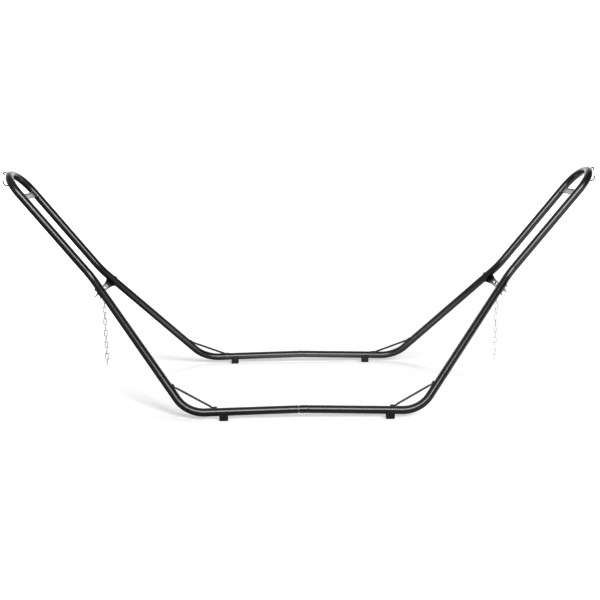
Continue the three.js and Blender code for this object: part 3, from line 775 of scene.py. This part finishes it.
def rings_about_z(rows, sides, section=round_section):
    """Rings at heights, given as (z, radius). The section gives the radius at each angle."""
    rings = []
    for z, radius in rows:
        ring = []
        for i in range(sides):
            a = 2 * math.pi * i / sides
            r = section(z, radius, a)
            ring.append(Vector((r * math.cos(a), r * math.sin(a), z)))
        rings.append(ring)
    return rings


def hexagon(z, radius, angle):
    """Radius of a hexagon cut down by a cone of that radius, which chamfers its corners."""
    sector = math.pi / 3
    return min(radius, HEX_HALF / math.cos((angle + sector / 2) % sector - sector / 2))


def hex_body(low, high, chamfer_high=True):
    """A hexagon bolt head or nut. Its low side is chamfered, and its high side if asked."""
    corner = HEX_HALF / math.cos(math.pi / 6)
    face = HEX_HALF * 0.96
    chamfered = [(0, face - 0.001), (0, face), (0.0004, face + 0.0007), (0.0008, corner)]
    sharp = [(0, face - 0.001), (0, corner - 0.0003), (0.0003, corner)]
    rows = [(low + d, radius) for d, radius in chamfered]
    rows += [(high - d, radius) for d, radius in reversed(chamfered if chamfer_high else sharp)]
    return loft(rings_about_z(rows, 60, hexagon))


def thread(low, high, sides=30):
    """A threaded rod: the groove winds once per pitch, and fades at a turned-down tip."""
    def groove(z, radius, angle):
        phase = (z / THREAD_PITCH - angle / (2 * math.pi)) % 1
        depth = THREAD_DEPTH * (1 - abs(2 * phase - 1))
        fade = min(1, (high - z) / THREAD_FADE) * min(1, (z - low) / THREAD_FADE)
        return radius - depth * fade - TIP_TURNED * (1 - min(1, (high - z) / TIP_LENGTH))
    count = round((high - low) / THREAD_PITCH * 8)
    rows = [(low + (high - low) * i / count, BOLT_R) for i in range(count + 1)]
    return loft(rings_about_z(rows, sides, groove))


def washer(low, high, radius):
    edge = 0.0003
    rows = [(low, BOLT_R), (low, radius - edge), (low + edge, radius), (high - edge, radius),
            (high, radius - edge), (high, BOLT_R)]
    return loft(rings_about_z(rows, 48))


for end, half_turn in ENDS.items():
    for side, where in sides_of(end):
        spanner_turn = 0.35 + 0.5 * side
        head_seat = -TUBE_R - SEAM_GAP - WASHER_HEIGHT
        nut_seat = saddle_outer + SEAM_GAP
        parts = [
            hex_body(head_seat - HEAD_HEIGHT, head_seat, chamfer_high=False),
            washer(head_seat, head_seat + WASHER_HEIGHT, WASHER_R),
            hex_body(nut_seat, nut_seat + NUT_HEIGHT),
            thread(-TUBE_R, BOLT_END),
        ]
        bolt_place = half_turn @ bracket_frame @ Matrix.Translation((0, side * bolt_y, 0))
        bolt_place = bolt_place @ Matrix.Rotation(spanner_turn, 4, "Z")
        piece(f"bolt_set_{where}_{end}", parts, zinc_plate, "stand",
              [f"bracket_bolt_{where}_{end}"], bolt_place, 30)

# Chain eyes. A forged eye bolt hangs through the middle of each bracket, its nut on
# top of the web, and carries the first link of the chain.

EYE_WIRE_R = 0.0025
EYE_RADIUS = 0.0075
EYE_THREAD = 0.013
eye_z = WEB_TOP + SHEET + SEAM_GAP + EYE_WIRE_R + EYE_RADIUS

for end, half_turn in ENDS.items():
    rings = []
    middle = Vector((0, 0, eye_z))
    steps = 56
    for i in range(steps):
        a = 2 * math.pi * i / steps
        way = Vector((math.sin(a), 0, -math.cos(a)))
        thick = EYE_WIRE_R * (1 + 0.10 * max(0, math.cos(a)) ** 4)
        rings.append([middle + way * (EYE_RADIUS + out * thick) + ACROSS * across * thick
                      for across, out in circle(1, 18)])
    neck_top = WEB_TOP + SHEET + SEAM_GAP
    neck = [(neck_top - 0.0002, BOLT_R), (neck_top, BOLT_R + 0.0008), (neck_top + 0.0006, BOLT_R + 0.0010),
            (neck_top + 0.0012, BOLT_R * 0.95), (neck_top + 0.0022, EYE_WIRE_R * 1.1)]
    parts = [loft(rings, closed=True), loft(rings_about_z(neck, 32)), thread(WEB_TOP - EYE_THREAD, neck_top)]
    piece("chain_eye_bolt_" + end, parts, zinc_plate, "stand", ["chain_eye_" + end],
          half_turn @ bracket_frame, 30)
    nut_top = WEB_TOP - SEAM_GAP
    piece("chain_eye_hexagon_" + end, [hex_body(nut_top - NUT_HEIGHT, nut_top)], zinc_plate,
          "stand", ["chain_eye_nut_" + end], half_turn @ bracket_frame, 30)

# Chains. Thirteen welded links of zinc-plated wire hang from each eye, every second
# one turned a quarter. The butt weld of a link is a slight swelling on one side.

LINKS = 13
LINK_WIRE_R = 0.00225
LINK_RADIUS = 0.00725
LINK_STRAIGHT = 0.011
WELD_HALF = 0.0028


def chain_link(seed):
    draw = random.Random(seed)
    weld_side = draw.choice((-1, 1))
    swell = draw.uniform(0.14, 0.22)
    path = []
    arc_steps, side_steps = 14, 12
    for up, start in ((1, 0), (-1, math.pi)):
        for i in range(arc_steps):
            a = start + math.pi * i / arc_steps
            path.append((LINK_RADIUS * math.cos(a), up * LINK_STRAIGHT + LINK_RADIUS * math.sin(a), a))
        for i in range(side_steps):
            path.append((-up * LINK_RADIUS, up * LINK_STRAIGHT * (1 - 2 * i / side_steps), start + math.pi))
    rings = []
    for x, z, a in path:
        on_weld = abs(x - weld_side * LINK_RADIUS) < 1e-6
        size = LINK_WIRE_R
        if on_weld:
            size *= 1 + swell * max(0, 1 - (z / WELD_HALF) ** 2) ** 0.5
        middle, out = Vector((x, 0, z)), Vector((math.cos(a), 0, math.sin(a)))
        rings.append([middle + out * p * size + ACROSS * q * size for p, q in circle(1, 16)])
    return loft(rings, closed=True)


for end in ENDS:
    for number in range(1, LINKS + 1):
        node = f"link_{end}_{number:02d}"
        low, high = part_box(node)
        quarter_turn = Matrix.Rotation(math.pi / 2 * (number % 2), 4, "Z")
        seed = number + (50 if end == "left" else 0)
        piece("chain_" + node, [chain_link(seed)], zinc_plate, node, [node],
              Matrix.Translation((low + high) / 2) @ quarter_turn, 60)

# Apex hooks. Each is one bent 6 mm bar: a curled eye outside the top bend, a stretch
# welded around the tube's outer face, and an open bowl that ends in an upright tip.

HOOK_R = 0.003
HOOK_EYE = 0.007
HOOK_EYE_SWEEP = 272        # degrees
HOOK_EYE_RISE = 0.007
HOOK_WRAP = 75              # degrees of the tube that the bar follows
HOOK_TURN = 0.006
HOOK_BOWL = 0.0205
HOOK_BOWL_DROP = 0.035
HOOK_TIP = 0.005
HOOK_CUT_ROLL = 0.0009      # rounding of the curled end, and of the open tip
HOOK_TIP_ROLL = 0.0015
HOOK_BEAD_R = 0.0019
HOOK_BEAD_SHORT = 8         # degrees left bare between the curled eye and the beads


def arc(x, z, radius, start, stop, step=6):
    """Stations on an arc in the XZ plane, angles in degrees from +X towards +Z."""
    count = max(2, math.ceil(abs(stop - start) / step))
    stations = []
    for i in range(count + 1):
        a = math.radians(start + (stop - start) * i / count)
        way = Vector((-math.sin(a), 0, math.cos(a))) * math.copysign(1, stop - start)
        stations.append((Vector((x + radius * math.cos(a), 0, z + radius * math.sin(a))), way))
    return stations


wrap = TUBE_R + SEAM_GAP + HOOK_R
eye_angle = math.degrees(math.asin(HOOK_EYE_RISE / (wrap + HOOK_EYE)))
eye_x = math.sqrt((wrap + HOOK_EYE) ** 2 - HOOK_EYE_RISE ** 2)
wrap_end = math.radians(HOOK_WRAP)
turn_x, turn_z = (wrap + HOOK_TURN) * math.cos(wrap_end), -(wrap + HOOK_TURN) * math.sin(wrap_end)
bowl_x = turn_x - HOOK_TURN + HOOK_BOWL
line = arc(eye_x, HOOK_EYE_RISE, HOOK_EYE, 180 + eye_angle - HOOK_EYE_SWEEP, 180 + eye_angle, 9)
line += arc(0, 0, wrap, eye_angle, -HOOK_WRAP)
line += arc(turn_x, turn_z, HOOK_TURN, 180 - HOOK_WRAP, 180, 12)
line += arc(bowl_x, -HOOK_BOWL_DROP, HOOK_BOWL, 180, 360)
line.append((Vector((bowl_x + HOOK_BOWL, 0, HOOK_TIP - HOOK_BOWL_DROP)), Vector((0, 0, 1))))
line = [line[0]] + [b for a, b in zip(line, line[1:]) if (a[0] - b[0]).length > 1e-5]

for end, half_turn in ENDS.items():
    route = Route(line, ACROSS)
    skin = rolled(0, HOOK_R, HOOK_CUT_ROLL, 1) + rolled(route.length, HOOK_R, HOOK_TIP_ROLL, -1)[::-1]
    parts = [turned(route, skin, 22)]
    weld_from, weld_sweep = eye_angle - HOOK_BEAD_SHORT, HOOK_WRAP - HOOK_BEAD_SHORT
    on_tube = TUBE_R + HOOK_BEAD_R - 0.001
    for sign in SIDES:
        angles = [math.radians(weld_from - weld_sweep * i / 14) for i in range(15)]
        path = [Vector((on_tube * math.cos(a), sign * (HOOK_R + 0.0002), on_tube * math.sin(a)))
                for a in angles]
        parts.append(bead(path, HOOK_BEAD_R, 90 + sign))
    piece("apex_hook_bar_" + end, parts, black_coat, "stand", ["apex_hook_" + end],
          half_turn @ Matrix.Translation(apex_middle), 50)

# Floor, light and camera. A white studio floor runs out to a white surround. Where the camera sees it
# the floor glows, so that it shows white and only soft shadows darken it; the glow is raised under the
# front rail and far to the left, which paints light over the shadows there. What the tubes mirror is
# dimmer, but for a bright wall behind the stand and a patch of floor between the rails that glows
# brightly in reflections only, which paints the bright bands the legs mirror.

FLOOR_SIZE = 160
FLOOR_BELOW = 0.0004
WHITE = (1, 1, 1, 1)

bpy.ops.mesh.primitive_plane_add(size=FLOOR_SIZE, location=(0, 0, cad_low.z - FLOOR_BELOW))
floor = bpy.context.object
floor.name = "studio_floor"
studio = bpy.data.materials.new("studio_floor")
studio.use_nodes = True
tree = studio.node_tree
tree.nodes.remove(tree.nodes["Principled BSDF"])
seen = Shade(tree).node("LightPath", {}, {}, "Is Camera Ray")
paper = seen.node("BsdfDiffuse", {}, {"Color": (0.15, 0.15, 0.15, 1)})
spot = Shade(tree).node("TexCoord", {}, {}, "Object")
far_side = spot.part("Y").ranged(-1.0, 3.0)
# Painted light: the glow is raised under the front rail and far to the left of the stand, which washes out
# the floor shadows there.
front_shadow_lift = spot.part("X").ranged(-0.62, -0.45) * spot.part("Y").ranged(0.2, -0.3)
far_left_shadow_lift = spot.part("X").ranged(-0.85, -1.15)
far_out = spot.stretched(1, 1, 0).length().ranged(2.2, 6.0)
glow_strength = far_side * 0.30 + front_shadow_lift * 0.10 + far_left_shadow_lift * 0.12 + far_out * 0.45 + 0.32
glow = seen.node("Emission", {}, {"Color": WHITE, "Strength": glow_strength})
lit = seen.node("AddShader", {}, {0: paper, 1: glow})
# Painted reflection: in reflections the floor glows, brightest in a patch between the rails and towards the
# right, which gives the legs their bright mirrored bands.
middle = spot.stretched(1, 1.4, 0).length().ramp((0.35, 1.0), (0.85, 0.0))
right_side = spot.part("X").ranged(0.2, 1.6)
reflected_floor_glow_strength = middle * 5.6 + right_side * 2.0 + 0.55
reflected_floor_glow = seen.node("Emission", {}, {"Color": WHITE, "Strength": reflected_floor_glow_strength})
floor_shade = seen.node("MixShader", {}, {0: seen, 1: reflected_floor_glow, 2: lit})
tree.links.new(floor_shade.socket, tree.nodes["Material Output"].inputs["Surface"])
floor.data.materials.append(studio)

surround = bpy.data.worlds.new("surround")
bpy.context.scene.world = surround
surround.use_nodes = True
tree = surround.node_tree
seen = Shade(tree).node("LightPath", {}, {}, "Is Camera Ray")
backdrop = seen.node("Background", {}, {"Color": WHITE, "Strength": 1.02})
heading = Shade(tree).node("TexCoord", {}, {}, "Generated")
behind = heading.part("Y").ranged(0.35, 0.90)
to_the_left = heading.part("X").ranged(0.7, -0.9)
around = seen.node("Background", {}, {"Color": WHITE, "Strength": behind * 2.8 + to_the_left * 0.9 + 0.08})
sky = seen.node("MixShader", {}, {0: seen, 1: around, 2: backdrop})
tree.links.new(sky.socket, tree.nodes["World Output"].inputs["Surface"])
bpy.context.scene.view_settings.view_transform = "Standard"
bpy.context.scene.view_settings.gamma = 0.7


def softbox(name, place, target, width, height, radiance):
    """A flat studio lamp, aimed at a point, as bright as the radiance given."""
    lamp = bpy.data.lights.new(name, "AREA")
    lamp.shape = "RECTANGLE"
    lamp.size, lamp.size_y = width, height
    lamp.energy = radiance * math.pi * width * height
    made = bpy.data.objects.new(name, lamp)
    made.location = place
    made.rotation_mode = "QUATERNION"
    made.rotation_quaternion = (Vector(target) - Vector(place)).to_track_quat("-Z", "Y")
    bpy.context.scene.collection.objects.link(made)


def far_light(name, way, spread, strength):
    """A lamp far away in a direction. It makes soft floor shadows and no glints."""
    lamp = bpy.data.lights.new(name, "SUN")
    lamp.angle = math.radians(spread)
    lamp.energy = strength
    made = bpy.data.objects.new(name, lamp)
    made.rotation_mode = "QUATERNION"
    made.rotation_quaternion = (-Vector(way)).to_track_quat("-Z", "Y")
    made.visible_glossy = False
    bpy.context.scene.collection.objects.link(made)


softbox("front_light", (0.1, -4.9, 3.6), (0, 0, 0.4), 5.0, 3.4, 17)
far_light("key_light", (0.80, -1.32, 1.0), 20, 8.5)
far_light("high_light", (0.0, 0.22, 1.0), 26, 2.6)

CAMERA_PLACE = Vector((-0.0826, -4.599, 1.4361))
CAMERA_TURN, CAMERA_DIP, CAMERA_ROLL = 0.0166, 0.2039, -0.0070      # radians
LENS = 53.07                                                        # mm, as is the sensor
SENSOR = 36

ahead = math.cos(CAMERA_DIP)
forward = Vector((math.sin(CAMERA_TURN) * ahead, math.cos(CAMERA_TURN) * ahead, -math.sin(CAMERA_DIP)))
level = forward.cross(Vector((0, 0, 1))).normalized()
upright = level.cross(forward)
right_hand = level * math.cos(CAMERA_ROLL) + upright * math.sin(CAMERA_ROLL)
head = right_hand.cross(forward)
lens = bpy.data.cameras.new("camera")
lens.lens = LENS
lens.sensor_width = SENSOR
camera = bpy.data.objects.new("camera", lens)
camera.matrix_world = Matrix.Translation(CAMERA_PLACE) @ Matrix((
    (right_hand.x, head.x, -forward.x, 0), (right_hand.y, head.y, -forward.y, 0),
    (right_hand.z, head.z, -forward.z, 0), (0, 0, 0, 1)))
bpy.context.scene.collection.objects.link(camera)
bpy.context.scene.camera = camera
